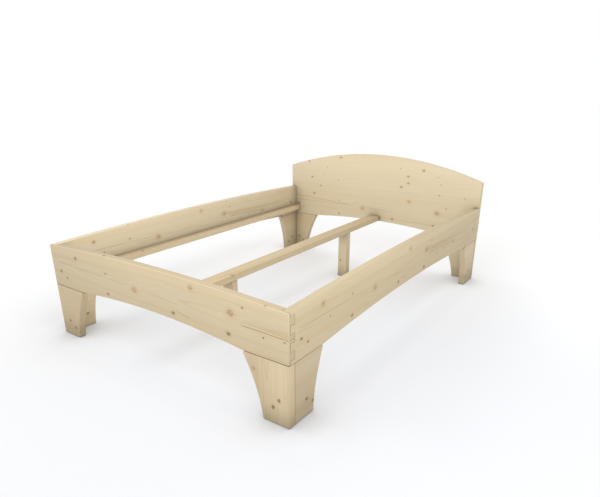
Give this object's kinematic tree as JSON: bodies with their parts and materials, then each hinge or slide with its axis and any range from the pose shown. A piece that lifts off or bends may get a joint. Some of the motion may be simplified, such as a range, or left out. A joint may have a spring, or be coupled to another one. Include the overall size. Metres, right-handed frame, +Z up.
{
  "type": "double bed frame",
  "caption": "Low double bed frame of solid spruce boards with an arched head board, bowed rails, flared corner legs, side cleats and a centre beam on legs, ready for slats and a mattress.",
  "frame": {"origin": "on the floor, under the middle of the bed", "axes": "+Z up; +Y from the foot end to the head end, along the length; +X to the right for a person who stands at the foot end and looks to the head end"},
  "size_m": [1.476, 2.076, 0.761],
  "materials": {
    "spruce_board": "planed and sanded pale spruce with knots, clear satin finish",
    "spruce_leg": "planed and sanded pale spruce, upright grain, clear satin finish",
    "spruce_support": "planed spruce, clear satin finish",
    "beech_dowel": "raw turned beech"
  },
  "bodies": {
    "root": {"foot_board": "spruce_board", "head_board": "spruce_board", "left_side_rail": "spruce_board", "right_side_rail": "spruce_board", "foot_left_leg_end_board": "spruce_leg", "foot_left_leg_side_board": "spruce_leg", "foot_right_leg_end_board": "spruce_leg", "foot_right_leg_side_board": "spruce_leg", "head_left_leg_end_board": "spruce_leg", "head_left_leg_side_board": "spruce_leg", "head_right_leg_end_board": "spruce_leg", "head_right_leg_side_board": "spruce_leg", "left_slat_cleat": "spruce_support", "right_slat_cleat": "spruce_support", "centre_beam": "spruce_support", "foot_centre_leg": "spruce_support", "head_centre_leg": "spruce_support", "leg_lock_dowels": "beech_dowel", "leg_corner_dowels": "beech_dowel", "cleat_dowels": "beech_dowel", "beam_end_dowels": "beech_dowel", "centre_leg_dowels": "beech_dowel"}
  },
  "joints": []
}
